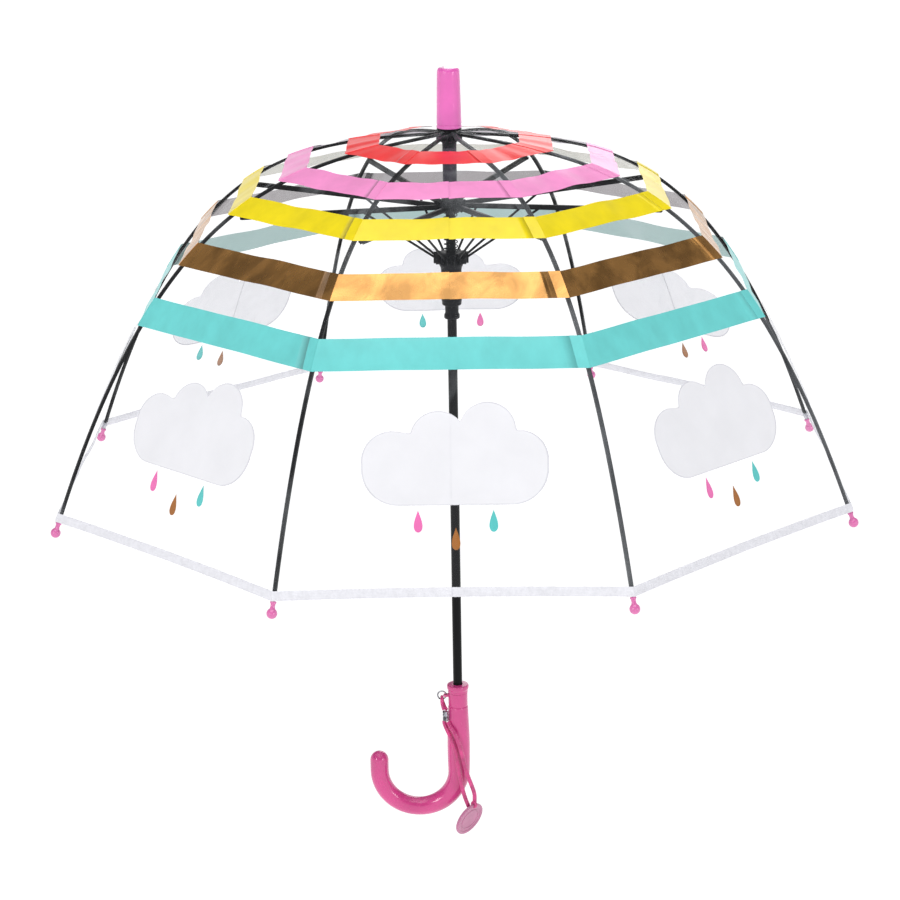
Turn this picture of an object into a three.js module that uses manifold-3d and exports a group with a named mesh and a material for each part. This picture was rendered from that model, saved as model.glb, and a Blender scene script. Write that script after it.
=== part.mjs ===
// Children's dome umbrella, open, in millimetres. +Z up along the shaft, -Y towards the front panel.
// The origin is on the shaft's axis, at the middle of the hand grip.
import * as THREE from 'three';
import { mergeVertices } from 'three/addons/utils/BufferGeometryUtils.js';
import Module from 'manifold-3d';

const wasm = await Module();
wasm.setup();

// ---- driving dimensions ----
const RIBS = 8;
const RIM_RADIUS = 350; // shaft axis to the middle of a rib's tip ball
const RIM_Z = 242;
const DOME_HEIGHT = 299; // rim to the top of the dome, along the ribs' middle line
const DOME_POWER = 3.3; // how squarely the dome turns down at its shoulder
const DOME_SLOPE = 0.042; // how much the top of the dome slopes, as a share of its height
const GAP = 0.3; // between touching pieces

const RIB_WIDTH = 3;
const RIB_HEIGHT = 2.4;
const KNEE_SHARE = 0.53; // where the stretcher holds the rib, as a share of the rim radius
const RIB_PIVOT_R = 8; // pivots from the shaft axis
const STRETCHER_PIVOT_R = 10;
const TIP_BALL_R = 4.1;
const TIP_SLEEVE = 16; // from the ball's middle to where the rib ends

const SKIN_INNER = 2.2; // canopy's inner face, out from the ribs' middle line
const SKIN_OUTER = 3.2;
const SKIN_TOP_R = 9.5; // hole for the shaft
const HEM_SHARES = [0.9835, 0.9905]; // top and bottom edge, as shares of the rim radius

const SHAFT_R = 4;
const SHAFT_BORE_R = 3.4;
const SHAFT_TOP = 584;
const SHAFT_BOTTOM = -24;

const UPPER_PIVOT_Z = 480;
const LOWER_PIVOT = [13, 436];
const STOP_Z = 489; // where the upper runner stops under its sleeve
const STRETCHER = { width: 3, height: 4, side: 3.4, drop: 5 };
const STRUT = { radius: 1, side: 0.4, reach: 80 }; // reach: radius where it holds the stretcher

const HOOK_R = 35.5; // middle line of the handle's bend
const HOOK_Z = -32;
const HOOK_TUBE_R = 8.2;
const GRIP_R = 10.1;
const GRIP_TOP = 29.6;
const NECK_R = 8.6;
const COLLAR_Z = [42.6, 50];

// ---- colours ----
const PINK = { color: 0xe0579f, roughness: 0.25, metalness: 0 };
const BLACK_STEEL = { color: 0x141416, roughness: 0.4, metalness: 0.8 };
const BLACK_PLASTIC = { color: 0x1e1e28, roughness: 0.4, metalness: 0 };
const CHROME = { color: 0xc9ccd0, roughness: 0.15, metalness: 1 };
const CLEAR = { color: 0xe8ecf2, roughness: 0.1, metalness: 0 };
const TAPE = { color: 0xe6e6ec, roughness: 0.8, metalness: 0 };

const group = new THREE.Group();

function add(name, geometry, finish, parent = group) {
  const mesh = new THREE.Mesh(geometry, new THREE.MeshStandardMaterial(finish));
  mesh.name = name;
  parent.add(mesh);
  return mesh;
}

// ---- shape helpers ----
// A body turned about Z from (radius, height) points that run up the outside.
function turned(points, segments = 24, start = 0) {
  const profile = points.map(([r, z]) => new THREE.Vector2(r, z));
  const shape = new THREE.LatheGeometry(profile, segments, start, 2 * Math.PI);
  return shape.rotateX(Math.PI / 2);
}

// A tube wall: outer points from the bottom up, then the inner points from the top down.
const ring = (points, segments, start) => turned([...points, points[0]], segments, start);

function swept(outline, points, steps) {
  const path = points.length > 2 ? new THREE.CatmullRomCurve3(points) : new THREE.LineCurve3(...points);
  return new THREE.ExtrudeGeometry(outline, { steps, extrudePath: path, bevelEnabled: false });
}

function rectangle(width, height) {
  const corners = [[-1, -1], [1, -1], [1, 1], [-1, 1]];
  return new THREE.Shape(corners.map(([x, y]) => new THREE.Vector2((x * width) / 2, (y * height) / 2)));
}

function polygon(radius, sides = 8) {
  const at = (i) => (2 * Math.PI * i) / sides;
  const corner = (_, i) => new THREE.Vector2(radius * Math.cos(at(i)), radius * Math.sin(at(i)));
  return new THREE.Shape(Array.from({ length: sides }, corner));
}

function solid(geometry) {
  const bare = geometry.clone();
  bare.deleteAttribute('normal');
  bare.deleteAttribute('uv');
  const merged = mergeVertices(bare, 1e-4);
  return new wasm.Manifold(new wasm.Mesh({
    numProp: 3,
    vertProperties: new Float32Array(merged.attributes.position.array),
    triVerts: new Uint32Array(merged.index.array),
  }));
}

function geometryOf(manifold) {
  const mesh = manifold.getMesh();
  const geometry = new THREE.BufferGeometry();
  geometry.setAttribute('position', new THREE.BufferAttribute(mesh.vertProperties, 3));
  geometry.setIndex(new THREE.BufferAttribute(mesh.triVerts, 1));
  geometry.computeVertexNormals();
  return geometry;
}

const box = (size, middle) => new THREE.BoxGeometry(...size).translate(...middle);

// Eight slots cut through a turned body, each beside its rib's plane.
function slotted(geometry, inner, side, width, low, high) {
  let body = solid(geometry);
  for (let i = 0; i < RIBS; i++) {
    const slot = box([20, width, high - low], [inner + 10, side, (low + high) / 2]).rotateZ(turnOf(i));
    body = body.subtract(solid(slot));
  }
  return geometryOf(body);
}

// ---- the dome ----
const turnOf = (i) => ((i + 0.5) / RIBS) * 2 * Math.PI - Math.PI / 2;

// The ribs' middle line at a share of the rim radius, moved out by a distance square to it.
function domePoint(share, out = 0) {
  const drop = share ** DOME_POWER + DOME_SLOPE * Math.sin(Math.PI * share);
  const fall = DOME_POWER * share ** (DOME_POWER - 1) + DOME_SLOPE * Math.PI * Math.cos(Math.PI * share);
  const slope = (-DOME_HEIGHT * fall) / RIM_RADIUS;
  const length = Math.hypot(1, slope);
  return [
    RIM_RADIUS * share - (out * slope) / length,
    RIM_Z + DOME_HEIGHT * (1 - drop) + out / length,
  ];
}

function domeLine(from, to, count, out = 0) {
  return Array.from({ length: count + 1 }, (_, i) => domePoint(from + ((to - from) * i) / count, out));
}

const inPlane = ([r, z], side = 0) => new THREE.Vector3(r, side, z);

// A closed skin between two shares of the rim radius, flat between the ribs.
function skin(from, to, count) {
  const outer = domeLine(to, from, count, SKIN_OUTER);
  const inner = domeLine(from, to, count, SKIN_INNER);
  return ring([...outer, ...inner], RIBS, Math.PI / RIBS);
}

add('canopy', skin(SKIN_TOP_R / RIM_RADIUS, HEM_SHARES[0] - 0.0005, 20), CLEAR);
add('canopy_hem', skin(...HEM_SHARES, 2), TAPE);

// ---- ribs, tips, stretchers and struts ----
const kneeGap = 1.6 / RIM_RADIUS;
const knee = domePoint(KNEE_SHARE);
const hold = domePoint(KNEE_SHARE, -STRETCHER.drop);
const tip = domePoint(1);
const beforeTip = domePoint(0.99);
const tipTurn = Math.atan2(tip[1] - beforeTip[1], tip[0] - beforeTip[0]);
const ribEndShare = 1 - TIP_SLEEVE / (RIM_RADIUS * 2.9);
const upperPivot = [STRETCHER_PIVOT_R, UPPER_PIVOT_Z];
const stretcherLength = Math.hypot(hold[0] - upperPivot[0], hold[1] - upperPivot[1]);
const alongStretcher = (d) => {
  const share = d / stretcherLength;
  return [0, 1].map((k) => upperPivot[k] + (hold[k] - upperPivot[k]) * share);
};
const strutHold = alongStretcher(STRUT.reach - STRETCHER_PIVOT_R);

function tipShape() {
  const points = [[0, -TIP_SLEEVE + 1], [1.8, -TIP_SLEEVE + 1], [1.8, -TIP_BALL_R + 0.6]];
  for (let i = 1; i <= 6; i++) {
    const a = -1.0 + (i / 6) * (Math.PI / 2 + 1.0);
    points.push([TIP_BALL_R * Math.cos(a), TIP_BALL_R * Math.sin(a)]);
  }
  points[points.length - 1][0] = 0;
  return turned(points, 12);
}

for (let i = 0; i < RIBS; i++) {
  const plane = new THREE.Group();
  plane.rotation.z = turnOf(i);
  group.add(plane);
  const n = i + 1;
  const outline = rectangle(RIB_WIDTH, RIB_HEIGHT);
  const innerLine = domeLine((RIB_PIVOT_R - 1) / RIM_RADIUS, KNEE_SHARE - kneeGap, 8);
  add(`rib_inner_${n}`, swept(outline, innerLine.map((p) => inPlane(p)), 10), BLACK_STEEL, plane);
  const outerLine = domeLine(KNEE_SHARE + kneeGap, ribEndShare, 10);
  add(`rib_outer_${n}`, swept(outline, outerLine.map((p) => inPlane(p)), 16), BLACK_STEEL, plane);

  const tipMesh = add(`rib_tip_${n}`, tipShape(), PINK, plane);
  tipMesh.position.copy(inPlane(tip));
  tipMesh.rotation.y = Math.PI / 2 - tipTurn;

  const bar = rectangle(STRETCHER.width, STRETCHER.height);
  const barEnds = [alongStretcher(-1), alongStretcher(stretcherLength + 1)];
  const barLine = barEnds.map((p) => inPlane(p, STRETCHER.side));
  add(`stretcher_${n}`, swept(bar, barLine, 1), BLACK_STEEL, plane);
  const wireLine = [LOWER_PIVOT, strutHold].map((p) => inPlane(p, STRUT.side));
  add(`strut_${n}`, swept(polygon(STRUT.radius), wireLine, 1), BLACK_STEEL, plane);
}

// ---- shaft, crown, ferrule and stop sleeve ----
add('shaft', ring([[SHAFT_R, SHAFT_BOTTOM], [SHAFT_R, SHAFT_TOP], [SHAFT_BORE_R, SHAFT_TOP],
  [SHAFT_BORE_R, SHAFT_BOTTOM]], 20), BLACK_STEEL);
const bore = SHAFT_R + GAP;
const crown = ring([[5.9, 529.5], [6.1, 533], [10.6, 536.5], [10.6, 541.6], [6, 542], [6, 543.4],
  [bore, 543.4], [bore, 529.5]], 32);
add('crown', slotted(crown, 6.3, 0, RIB_WIDTH + 0.8, 525, 543), BLACK_PLASTIC);
add('canopy_washer', ring([[10.4, 543.7], [10.2, 544.8], [6.4, 544.8], [6.4, 543.7]], 32), BLACK_PLASTIC);
add('ferrule', ring([[10.5, 545.1], [9.6, 587], [9.2, 593], [8.2, 595], [0, 595], [0, 585.5], [bore, 584.5],
  [bore, 545.1]], 32), PINK);
add('stop_sleeve', ring([[5.9, STOP_Z], [5.9, 529.2], [bore, 529.2], [bore, STOP_Z]], 24), BLACK_PLASTIC);

// ---- runners and their spring ----
const runnerBore = SHAFT_R + 0.4;
const u = (z) => UPPER_PIVOT_Z + z;
const upper = ring([[7.8, u(-6)], [8.6, u(-5)], [11.4, u(-3)], [11.6, u(4.5)], [8, u(6)], [7.2, u(8.7)],
  [runnerBore, u(8.7)], [runnerBore, u(4)], [6.8, u(4)], [6.8, u(-6)]], 32);
const upperSlots = [7.5, STRETCHER.side, STRETCHER.width + 0.8, u(-7), u(6.5)];
add('upper_runner', slotted(upper, ...upperSlots), BLACK_PLASTIC);
const l = (z) => LOWER_PIVOT[1] + z;
const lower = ring([[6.4, l(-53)], [6.4, l(-49)], [5.8, l(-48)], [5.8, l(-41)], [8.2, l(-41)], [8.8, l(-37)],
  [8.8, l(-8)], [11, l(-5)], [14.8, l(-1)], [14.8, l(4)], [8, l(4.5)], [runnerBore, l(4.5)],
  [runnerBore, l(-53)]], 32);
add('lower_runner', slotted(lower, 10.6, 0, RIB_WIDTH + 0.8, l(-3), l(5)), BLACK_PLASTIC);
add('runner_spring', ring([[6.3, l(5)], [6.3, u(3.6)], [4.9, u(3.6)], [4.9, l(5)]], 20), BLACK_STEEL);

// ---- handle, collar and release button ----
const BUTTON_Z = 36.5;
const RING_EYE = [-10.4, 39.4];
const grip = turned([[0, HOOK_Z - 1], [9, HOOK_Z - 1], [GRIP_R, HOOK_Z + 10], [GRIP_R, HOOK_Z + 28],
  [9.6, 10], [NECK_R, GRIP_TOP], [NECK_R, COLLAR_Z[0] - GAP], [0, COLLAR_Z[0] - GAP]], 32);

function hookShape() {
  const middle = [new THREE.Vector3(0, 0, HOOK_Z + 6)];
  for (let i = 0; i <= 12; i++) {
    const a = (Math.PI * i) / 12;
    middle.push(new THREE.Vector3(-HOOK_R + HOOK_R * Math.cos(a), 0, HOOK_Z - HOOK_R * Math.sin(a)));
  }
  middle.push(new THREE.Vector3(-2 * HOOK_R, 0, HOOK_Z + 10));
  return swept(polygon(HOOK_TUBE_R, 16), middle, 28);
}

const dome = new THREE.SphereGeometry(HOOK_TUBE_R, 16, 10).translate(-2 * HOOK_R, 0, HOOK_Z + 10);
const lug = box([5.6, 5, 2.6], [-9.9, 0, RING_EYE[1]]);
const eye = new THREE.CylinderGeometry(1.4, 1.4, 6, 12).rotateX(Math.PI / 2);
eye.translate(RING_EYE[0], 0, RING_EYE[1]);
const shaftHole = new THREE.CylinderGeometry(bore, bore, 90, 20).rotateX(Math.PI / 2);
shaftHole.translate(0, 0, SHAFT_BOTTOM - GAP + 45);
const buttonHole = new THREE.CylinderGeometry(3.4, 3.4, 8, 20).translate(0, 9, BUTTON_Z);
let handle = solid(grip).add(solid(hookShape())).add(solid(dome)).add(solid(lug));
for (const cutter of [eye, shaftHole, buttonHole]) handle = handle.subtract(solid(cutter));
add('handle', geometryOf(handle), PINK);
add('handle_collar', ring([[8.8, COLLAR_Z[0]], [9, COLLAR_Z[0] + 4], [9.5, COLLAR_Z[1] - 1.5],
  [8.2, COLLAR_Z[1]], [bore, COLLAR_Z[1]], [bore, COLLAR_Z[0]]], 32), PINK);
const button = turned([[0, 0], [3, 0], [3, 3], [2.2, 3.8], [0, 3.8]], 20).rotateX(-Math.PI / 2);
add('release_button', button.translate(0, 6.6, BUTTON_Z), PINK);

// ---- wrist strap ----
const RING_R = 3.78;
const ringMiddle = new THREE.Vector3(RING_EYE[0] - RING_R, 0, RING_EYE[1]);
const strapRing = new THREE.TorusGeometry(RING_R, 0.65, 8, 20).rotateX(Math.PI / 2);
add('strap_ring', strapRing.translate(...ringMiddle.toArray()), CHROME);
const CRIMP = new THREE.Vector3(-11.2, -5.2, 21.8);
const crimp = new THREE.CylinderGeometry(2.6, 2.6, 9, 12).rotateX(Math.PI / 2);
add('strap_crimp', crimp.translate(...CRIMP.toArray()), CHROME);

// The routes of the cord: a small loop through the ring, then two strands from the clamp down to the disc.
const ROUTES = {
  strap_loop: [
    [-12.6, -5.7, 27.6], [-13.4, -4.9, 30], [-14.2, -3.2, 33.4], [-14.2, -1.6, 36.6], [-14.2, 0, 37.9],
    [-14.2, 1.7, 36.4], [-13.8, 2.2, 33.4], [-12.6, 0.4, 30.4], [-11.2, -3.4, 28.6], [-10.1, -5, 27.6],
  ],
  strap_cord_left: [
    [-12.4, -3.9, 16.6], [-12, -5, 13.6], [-9.4, -9.2, 8.6], [-6.2, -11.8, 2], [-3.4, -12.8, -8],
    [-1.2, -13, -20], [0.6, -13, -32], [2.6, -13.2, -44], [5.2, -13.8, -54], [8.2, -15, -62],
  ],
  strap_cord_right: [
    [-9, -6.8, 16.6], [-7.4, -8.5, 13.6], [-3.8, -12.6, 9], [-0.8, -14.4, 2], [2.2, -14.2, -8],
    [4.6, -13.6, -20], [7.6, -13.4, -32], [11, -13.4, -42], [13.4, -14.2, -50], [13.6, -16.4, -57],
  ],
};
const CORD_R = { strap_loop: 1.1, strap_cord_left: 1.9, strap_cord_right: 1.9 };
for (const [name, route] of Object.entries(ROUTES)) {
  add(name, swept(polygon(CORD_R[name]), route.map((p) => new THREE.Vector3(...p)), 24), PINK);
}
const TAG = { radius: 16, thickness: 2.6, middle: [8.6, -14.6, -74], facing: [0.7, -0.65, -0.31] };
const tagTurn = new THREE.Quaternion();
tagTurn.setFromUnitVectors(new THREE.Vector3(0, 1, 0), new THREE.Vector3(...TAG.facing).normalize());
const tag = new THREE.CylinderGeometry(TAG.radius, TAG.radius, TAG.thickness, 32).applyQuaternion(tagTurn);
add('strap_tag', tag.translate(...TAG.middle), PINK);

export default group;
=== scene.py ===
"""Looks of the children's dome umbrella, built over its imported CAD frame.

Metres, +Z up along the shaft, -Y towards the front panel, origin in the middle of the hand grip.
"""

import math
from itertools import pairwise

import bmesh
import bpy
import numpy as np
from mathutils import Matrix, Vector


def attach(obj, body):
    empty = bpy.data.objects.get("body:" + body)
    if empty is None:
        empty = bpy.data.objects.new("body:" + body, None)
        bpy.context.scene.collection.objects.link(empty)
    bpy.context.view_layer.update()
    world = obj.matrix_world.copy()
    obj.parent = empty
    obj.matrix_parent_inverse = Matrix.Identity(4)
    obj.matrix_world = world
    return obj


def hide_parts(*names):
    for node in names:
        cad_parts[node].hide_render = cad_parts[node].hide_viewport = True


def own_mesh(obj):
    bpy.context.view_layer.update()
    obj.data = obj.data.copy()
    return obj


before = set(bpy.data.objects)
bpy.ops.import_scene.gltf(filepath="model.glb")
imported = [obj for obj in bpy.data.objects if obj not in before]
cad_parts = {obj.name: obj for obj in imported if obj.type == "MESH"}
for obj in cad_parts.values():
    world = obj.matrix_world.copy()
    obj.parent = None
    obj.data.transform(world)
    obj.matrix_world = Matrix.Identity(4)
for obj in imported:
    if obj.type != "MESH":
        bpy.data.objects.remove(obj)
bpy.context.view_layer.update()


def mm(value):
    """Millimetres to metres, for a number or for lists of numbers."""
    if isinstance(value, (int, float)):
        return value * 0.001
    return [mm(v) for v in value]


# ---- driving dimensions, as in the CAD source ----
RIBS = 8
RIM_RADIUS, RIM_Z = mm(350), mm(242)
DOME_HEIGHT, DOME_POWER, DOME_SLOPE = mm(299), 3.3, 0.042
KNEE_SHARE = 0.53
KNEE_GAP = mm(1.6) / RIM_RADIUS
HEM_SHARES = (0.9835, 0.991)
HEM_RISE, HEM_RISE_POWER = 0.0018, 12  # the hem is drawn up between the tips
RIB_START_SHARE = mm(7) / RIM_RADIUS
RIB_END_SHARE = 1 - mm(16) / (RIM_RADIUS * 2.9)  # 16 mm down the curve, which is steep there
UPPER_PIVOT = mm([10, 480])
LOWER_PIVOT = mm([13, 436])
STRETCHER_SIDE, STRUT_SIDE = mm(3.4), mm(0.4)
STRETCHER_DROP = mm(5)
STRUT_REACH = mm(70)
HOOK_R, HOOK_Z, HOOK_TUBE_R = mm(35.5), mm(-32), mm(8.2)
FILM_OUT = mm(2.7)  # the film lies this far out from the ribs' middle line
PRINT_THICKNESS, WELD_THICKNESS = mm(0.45), mm(0.35)
TAPE_OUT, TAPE_IN = mm(0.4), mm(0.3)  # how far the hem tape's two sides lie from the film
X_AXIS, Y_AXIS, Z_AXIS = Vector((1, 0, 0)), Vector((0, 1, 0)), Vector((0, 0, 1))


# ---- camera, placed first ----
def add_camera():
    """The camera stands 17 degrees up in front of the umbrella and is rolled by about a degree."""
    elevation, roll, yaw = math.radians(17.197), math.radians(-0.924), math.radians(0.54)
    distance, target = 2.142, Vector((-0.0035, 0, 0.2665))
    forward = Vector((0, math.cos(elevation), -math.sin(elevation)))
    right = Vector((1, 0, 0))
    up = right.cross(forward)
    level = math.cos(roll) * right + math.sin(roll) * up
    upright = math.cos(roll) * up - math.sin(roll) * right
    turn_matrix = Matrix((level, upright, -forward)).transposed().to_4x4()
    data = bpy.data.cameras.new("camera")
    data.lens, data.sensor_width = 99.77, 36
    data.clip_end = 50
    camera = bpy.data.objects.new("camera", data)
    place = Matrix.Translation(target - distance * forward) @ turn_matrix
    camera.matrix_world = Matrix.Rotation(yaw, 4, "Z") @ place
    bpy.context.scene.collection.objects.link(camera)
    bpy.context.scene.camera = camera


add_camera()


# ---- materials: noise scales are features per metre, bump distances are depths ----
def srgb(code):
    """A hex colour as linear red, green and blue."""
    parts = [int(code[i : i + 2], 16) / 255 for i in (0, 2, 4)]
    return [c / 12.92 if c < 0.04045 else ((c + 0.055) / 1.055) ** 2.4 for c in parts]


class Finish:
    """A procedural material: one Principled shader, textured in the object's own coordinates."""

    def __init__(self, name, code, roughness, metallic=0.0, **more):
        self.material = bpy.data.materials.new(name)
        self.material.use_nodes = True
        self.tree = self.material.node_tree
        self.shader = self.tree.nodes["Principled BSDF"]
        self.colour = srgb(code)
        self.set("Base Color", (*self.colour, 1))
        self.set("Roughness", roughness)
        self.set("Metallic", metallic)
        for socket, value in more.items():
            self.set(socket.replace("_", " "), value)
        self.normal = None

    def set(self, socket, value):
        self.shader.inputs[socket].default_value = value

    def node(self, kind, **values):
        made = self.tree.nodes.new(kind)
        for socket, value in values.items():
            made.inputs[socket.replace("_", " ")].default_value = value
        return made

    def texture(self, kind, scale=(1, 1, 1), turn=(0, 0, 0), **values):
        coordinates = self.tree.nodes.new("ShaderNodeTexCoord")
        mapping = self.tree.nodes.new("ShaderNodeMapping")
        mapping.vector_type = "TEXTURE"  # turns first, then stretches
        mapping.inputs["Scale"].default_value = [1 / s for s in scale]
        mapping.inputs["Rotation"].default_value = turn
        made = self.node(kind, **values)
        self.tree.links.new(coordinates.outputs["Object"], mapping.inputs["Vector"])
        self.tree.links.new(mapping.outputs["Vector"], made.inputs["Vector"])
        return made.outputs["Fac"]

    def noise(self, scale, stretch=(1, 1, 1), detail=3.0, **values):
        kind = "ShaderNodeTexNoise"
        return self.texture(kind, stretch, Scale=scale, Detail=detail, Roughness=0.55, **values)

    def ranged(self, factor, low, high, start=0.3, end=0.7):
        ends = {"From_Min": start, "From_Max": end, "To_Min": low, "To_Max": high}
        made = self.node("ShaderNodeMapRange", **ends)
        self.tree.links.new(factor, made.inputs["Value"])
        return made.outputs["Result"]

    def vary(self, socket, factor, low, high, start=0.3, end=0.7):
        self.tree.links.new(self.ranged(factor, low, high, start, end), self.shader.inputs[socket])
        return self

    def tint(self, factor, dark, light=1.0, start=0.3, end=0.7, back=None):
        """The base colour from dark to light times itself, and a plain one on a sheet's back."""
        ramp = self.tree.nodes.new("ShaderNodeValToRGB")
        for stop, place, share in zip(ramp.color_ramp.elements, (start, end), (dark, light)):
            stop.position = place
            stop.color = (*[min(c * share, 1.0) for c in self.colour], 1)
        self.tree.links.new(factor, ramp.inputs["Fac"])
        colour = ramp.outputs["Color"]
        if back:
            sides = self.tree.nodes.new("ShaderNodeNewGeometry").outputs["Backfacing"]
            mix = self.tree.nodes.new("ShaderNodeMix")
            mix.data_type = "RGBA"
            mix.inputs["B"].default_value = (*srgb(back), 1)
            self.tree.links.new(sides, mix.inputs["Factor"])
            self.tree.links.new(colour, mix.inputs["A"])
            colour = mix.outputs["Result"]
        self.tree.links.new(colour, self.shader.inputs["Base Color"])
        return self

    def bump(self, height, strength, depth):
        made = self.node("ShaderNodeBump", Strength=strength, Distance=depth)
        self.tree.links.new(height, made.inputs["Height"])
        if self.normal is not None:
            self.tree.links.new(self.normal, made.inputs["Normal"])
        self.normal = made.outputs["Normal"]
        self.tree.links.new(self.normal, self.shader.inputs["Normal"])
        return self

    def woven(self, size, strength, depth, turn=(0, 0, 0)):
        """Crossed waves, as the threads of a plain weave."""
        for axis in ("X", "Z"):
            wave = self.texture("ShaderNodeTexWave", turn=turn, Scale=1 / size)
            wave.node.bands_direction = axis
            self.bump(wave, strength, depth)
        return self


def moulded(name, code, roughness, **more):
    """Gloss plastic out of a mould: faint flow marks and fine scratches."""
    made = Finish(name, code, roughness, **more)
    made.tint(made.noise(28, detail=4), 0.86, 1.06)
    made.vary("Roughness", made.noise(160, (1, 1, 0.35)), roughness * 0.75, roughness * 1.5)
    return made.bump(made.noise(420, detail=2), 0.12, mm(0.05))


def printed(name, code, back=None):
    """Ink on film: slightly uneven cover, a duller back, and the film's own creases."""
    made = Finish(name, code, 0.32, Specular_IOR_Level=0.35, Coat_Weight=0.08)
    made.tint(made.noise(60, (1, 1, 0.5), detail=5), 0.9, 1.04, back=back)
    made.bump(made.noise(30, (1, 1, 0.22)), 0.3, mm(1.2))
    return made.bump(made.noise(420, detail=1), 0.06, mm(0.03)).material


def clear_film():
    """Clear vinyl, nearly see-through, with painted highlights: it is less clear in soft upright
    streaks along its creases, where they would catch the light.
    """
    made = Finish("clear_film", "E9EFF4", 0.12, IOR=1.52, Specular_IOR_Level=0.8)
    creases = made.noise(24, (1, 1, 0.25), detail=4, Distortion=0.6)
    # painted highlight: the pale film shows more along the creases, in place of glints
    made.vary("Alpha", creases, 0.015, 0.14, 0.5, 0.74)
    made.vary("Roughness", made.noise(70), 0.06, 0.22)
    return made.bump(creases, 0.35, mm(1.5)).material


def seam_film():
    """Two layers of film welded together, with the weld's fine ribbing."""
    made = Finish("welded_seam", "DDE3EA", 0.2, IOR=1.52)
    made.vary("Alpha", made.noise(50, (1, 1, 0.3)), 0.03, 0.14)
    return made.woven(mm(9), 0.25, mm(0.15)).material


def metallic_print():
    """Gold foil with slanting creases and a grey back; its colour is painted darker in the
    creases' hollows and lighter on their ridges, as painted shade and highlight.
    """
    made = Finish("print_gold", "CC9655", 0.24, 0.82, Coat_Weight=0.1)
    creases = made.noise(40, (1, 1, 0.16), detail=4, turn=(0, 0.5, 0), Distortion=0.5)
    # painted shade and highlight: the crease height darkens the gold in the hollows and lightens
    # it on the ridges
    made.tint(creases, 0.62, 1.12, 0.38, 0.6, back="9C989A")
    made.vary("Roughness", made.noise(90, (1, 1, 0.3)), 0.16, 0.34)
    return made.bump(creases, 0.4, mm(1.6)).material


def tape():
    """Woven binding, light grey, with soft fibres."""
    made = Finish("hem_tape", "E9E9EF", 0.85, Sheen_Weight=0.3, Sheen_Roughness=0.4)
    made.tint(made.noise(220, (1, 1, 0.6), detail=4), 0.9, 1.02)
    return made.woven(mm(8), 0.6, mm(0.3), turn=(0, 0, 0.6)).material


def black_steel():
    """Blackened steel with a fine grain."""
    made = Finish("black_steel", "09090B", 0.4, 0.0, Specular_IOR_Level=0.1)
    made.tint(made.noise(300, detail=5), 0.6, 2.0)
    made.vary("Roughness", made.noise(90), 0.26, 0.5)
    return made.bump(made.noise(700), 0.15, mm(0.05)).material


def shaft_lacquer():
    """Black lacquer on drawn tube: long faint draw marks under a gloss coat."""
    made = Finish("shaft_lacquer", "09090B", 0.3, 0.0, Specular_IOR_Level=0.12, Coat_Weight=0.04)
    made.tint(made.noise(260, (1, 1, 0.04), detail=4), 0.6, 2.0)
    return made.bump(made.noise(500, (1, 1, 0.05)), 0.2, mm(0.05)).material


def chrome():
    """Chrome whose colour is painted in dark and bright patches: a painted reflection of a room.
    """
    made = Finish("chrome", "A6A8AE", 0.1, 1.0)
    made.vary("Roughness", made.noise(240, detail=4), 0.06, 0.24)
    # painted reflection: the base colour runs from dark to bright patches
    return made.tint(made.noise(160), 0.25, 1.2, 0.42, 0.58).material


def strap_cord():
    """Glossy braid."""
    made = Finish("strap_cord", "D23A82", 0.28, Coat_Weight=0.4, Sheen_Weight=0.1)
    made.tint(made.noise(150, detail=3), 0.7, 1.15)
    return made.woven(mm(5), 0.5, mm(0.25), turn=(0, 0.35, 0)).material


def tag_plastic():
    """Slightly milky plastic."""
    made = Finish("tag_plastic", "C8779F", 0.22, Alpha=0.9, Coat_Weight=0.3)
    made.tint(made.noise(90, detail=4), 0.86, 1.08)
    return made.bump(made.noise(300), 0.15, mm(0.08)).material


def cloud_print():
    """White ink, thicker than the bands."""
    made = Finish("print_cloud", "EBEBEF", 0.4, Coat_Weight=0.2, Coat_Roughness=0.15)
    made.tint(made.noise(35, detail=5), 0.96, 1.01)
    return made.bump(made.noise(30, (1, 1, 0.3)), 0.25, mm(1.2)).material


CLEAR, SEAM, CLOUD = clear_film(), seam_film(), cloud_print()
CLOUD_EDGE = printed("print_cloud_edge", "DCDCE2")
PRINTS = {
    "red": printed("print_red", "FC3B3C", "B9A5AA"),
    "pink": printed("print_pink", "FB9AD3", "B4ABB6"),
    "yellow": printed("print_yellow", "F2DC12", "CFCDC4"),
    "gold": metallic_print(),
    "teal": printed("print_teal", "70D2D0", "A3BDBB"),
}
DROPS = {
    "pink": printed("print_drop_pink", "EC74B6"),
    "brown": printed("print_drop_brown", "A5682F"),
    "teal": printed("print_drop_teal", "5FC8C6"),
}
TAPE, STEEL, LACQUER, CHROME = tape(), black_steel(), shaft_lacquer(), chrome()
BLACK = moulded("black_plastic", "101015", 0.36, Specular_IOR_Level=0.14).material
SMOKE = moulded("smoke_plastic", "352F3C", 0.26, Specular_IOR_Level=0.3).material
HANDLE = moulded("handle_pink", "D6448B", 0.2, Coat_Weight=0.5, Coat_Roughness=0.04).material
FERRULE = moulded("ferrule_pink", "E566BA", 0.2, Coat_Weight=0.5, Coat_Roughness=0.05).material
TIP = moulded("tip_pink", "E070B0", 0.22, Coat_Weight=0.5).material
POCKET = Finish("pocket_film", "C9CBD3", 0.2, Alpha=0.55)
POCKET.tint(POCKET.noise(200), 0.85, 1.05)
POCKET = POCKET.bump(POCKET.noise(300), 0.3, mm(0.1)).material
CORD, TAG = strap_cord(), tag_plastic()


# ---- building pieces ----
ON_AXIS, SAME_POINT = 1e-6, 1e-6


def turns(count):
    """Angles evenly round a circle."""
    return [2 * math.pi * k / count for k in range(count)]


def standing(middle, direction):
    """A place in which Z points in a direction."""
    return Matrix.Translation(middle) @ direction.to_track_quat("Z", "Y").to_matrix().to_4x4()


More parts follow.
